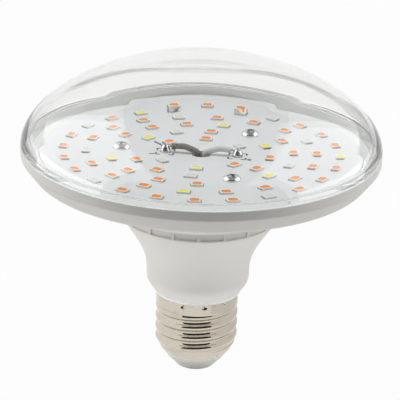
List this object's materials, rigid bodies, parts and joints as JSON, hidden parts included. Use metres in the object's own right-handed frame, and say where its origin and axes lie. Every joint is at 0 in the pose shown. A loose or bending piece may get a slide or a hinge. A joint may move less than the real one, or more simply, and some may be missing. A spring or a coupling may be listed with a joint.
{
  "type": "grow light bulb",
  "caption": "Wide-faced screw-cap grow lamp: a clear domed cover over a round board of coloured LEDs, on a shallow pale pan, a flared neck and a threaded metal cap.",
  "frame": {"origin": "centre of the flat face of the centre contact, at the foot of the screw cap", "axes": "+Z along the lamp axis from the contact to the top of the dome; -Y towards the viewer of the picture"},
  "size_m": [0.1116, 0.1116, 0.1021],
  "materials": {
    "contact": "satin nickel plate",
    "insulator": "moulded, light grey",
    "shell": "bright nickel plate",
    "housing": "fine moulded grain, warm grey white",
    "cover": "clear, polished",
    "heat_sink": "mill finish",
    "board": "white solder mask",
    "led_body": "moulded white",
    "tinned": "tinned",
    "orange": "cast silicone over phosphor",
    "yellow": "cast silicone over phosphor",
    "clear_window": "cast silicone, no phosphor",
    "screw": "bright plate",
    "light_wire": "extruded sleeve, light grey",
    "grey_wire": "extruded sleeve, grey",
    "solder": "bright solder",
    "laminate": "green solder mask",
    "can": "shrink sleeve",
    "film": "dipped",
    "ferrite": "sintered",
    "copper": "enamelled wire",
    "moulding": "moulded black",
    "fuse": "coated"
  },
  "bodies": {
    "root": {"centre_contact": "contact", "cap_insulator": "insulator", "screw_shell": "shell", "neck_sleeve": "housing", "pan_housing": "housing", "clear_cover": "cover", "heat_sink": "heat_sink", "led_board": "board", "led_bodies": "led_body", "led_terminals": "tinned", "orange_emitters": "orange", "yellow_emitters": "yellow", "clear_emitters": "clear_window", "board_screws": "screw", "positive_wire": "light_wire", "negative_wire": "grey_wire", "wire_ends": "tinned", "solder_joints": "solder", "driver_board": "laminate", "electrolytic_capacitor": "can", "film_capacitor": "film", "choke_core": "ferrite", "choke_winding": "copper", "bridge_rectifier": "moulding", "driver_chip": "moulding", "fuse_resistor": "fuse", "shell_lead": "tinned", "tip_lead": "tinned"}
  },
  "joints": []
}
